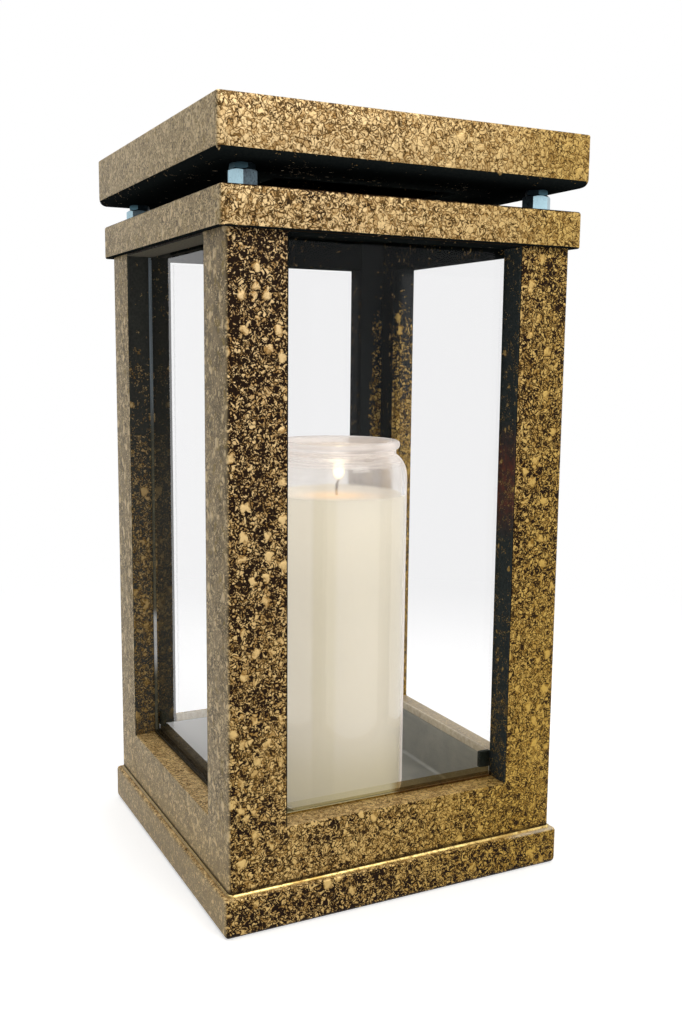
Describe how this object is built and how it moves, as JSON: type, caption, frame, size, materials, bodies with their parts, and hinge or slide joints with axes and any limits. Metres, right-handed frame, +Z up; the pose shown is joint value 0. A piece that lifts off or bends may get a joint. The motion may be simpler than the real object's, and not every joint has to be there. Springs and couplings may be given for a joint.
{
  "type": "grave lantern",
  "caption": "Square sheet-steel grave lantern with glass sides, a plinth, a lift-off lid whose roof stands on hexagonal spacers over a vented collar, and a glass jar candle inside.",
  "frame": {"origin": "centre of the plinth's resting face", "axes": "+Z up through the roof, front window towards -Y"},
  "size_m": [0.2, 0.2, 0.388],
  "materials": {
    "speckled_paint": "antique gold speckle over black, low sheen",
    "zinc": "blue zinc plate",
    "bare_steel": "satin, lightly scratched",
    "pane_glass": "clear float glass",
    "silicone": "translucent bead",
    "jar_glass": "clear pressed glass",
    "wax": "cream paraffin wax, soft and waxy",
    "wick": "charred braided cotton",
    "tin_plate": "bright tin plate",
    "flame": "glowing"
  },
  "bodies": {
    "body": {"plinth": "speckled_paint", "floor_pan": "bare_steel", "post_front_left": "speckled_paint", "post_front_right": "speckled_paint", "post_back_right": "speckled_paint", "post_back_left": "speckled_paint", "bottom_rail_front": "speckled_paint", "bottom_rail_right": "speckled_paint", "bottom_rail_back": "speckled_paint", "bottom_rail_left": "speckled_paint", "top_rail_front": "speckled_paint", "top_rail_right": "speckled_paint", "top_rail_back": "speckled_paint", "top_rail_left": "speckled_paint", "pane_front": "pane_glass", "pane_right": "pane_glass", "pane_back": "pane_glass", "pane_left": "pane_glass", "glazing_bead_front": "silicone", "glazing_bead_right": "silicone", "glazing_bead_back": "silicone", "glazing_bead_left": "silicone"},
    "lid": {"collar": "speckled_paint", "roof": "speckled_paint", "stud_front_left": "zinc", "stud_front_right": "zinc", "stud_back_right": "zinc", "stud_back_left": "zinc", "spacer_front_left": "zinc", "spacer_front_right": "zinc", "spacer_back_right": "zinc", "spacer_back_left": "zinc", "thin_nut_front_left": "zinc", "thin_nut_front_right": "zinc", "thin_nut_back_right": "zinc", "thin_nut_back_left": "zinc", "roof_nut_front_left": "zinc", "roof_nut_front_right": "zinc", "roof_nut_back_right": "zinc", "roof_nut_back_left": "zinc"},
    "candle": {"candle_jar": "jar_glass", "wax": "wax", "wick": "wick", "wick_sustainer": "tin_plate"}
  },
  "joints": [
    {"name": "lid_lift", "type": "slide", "parent": "body", "child": "lid", "axis": [0, 0, 1], "range_m": [0, 0.1]},
    {"name": "candle_lift", "type": "slide", "parent": "body", "child": "candle", "axis": [0, 0, 1], "range_m": [0, 0.15]}
  ]
}
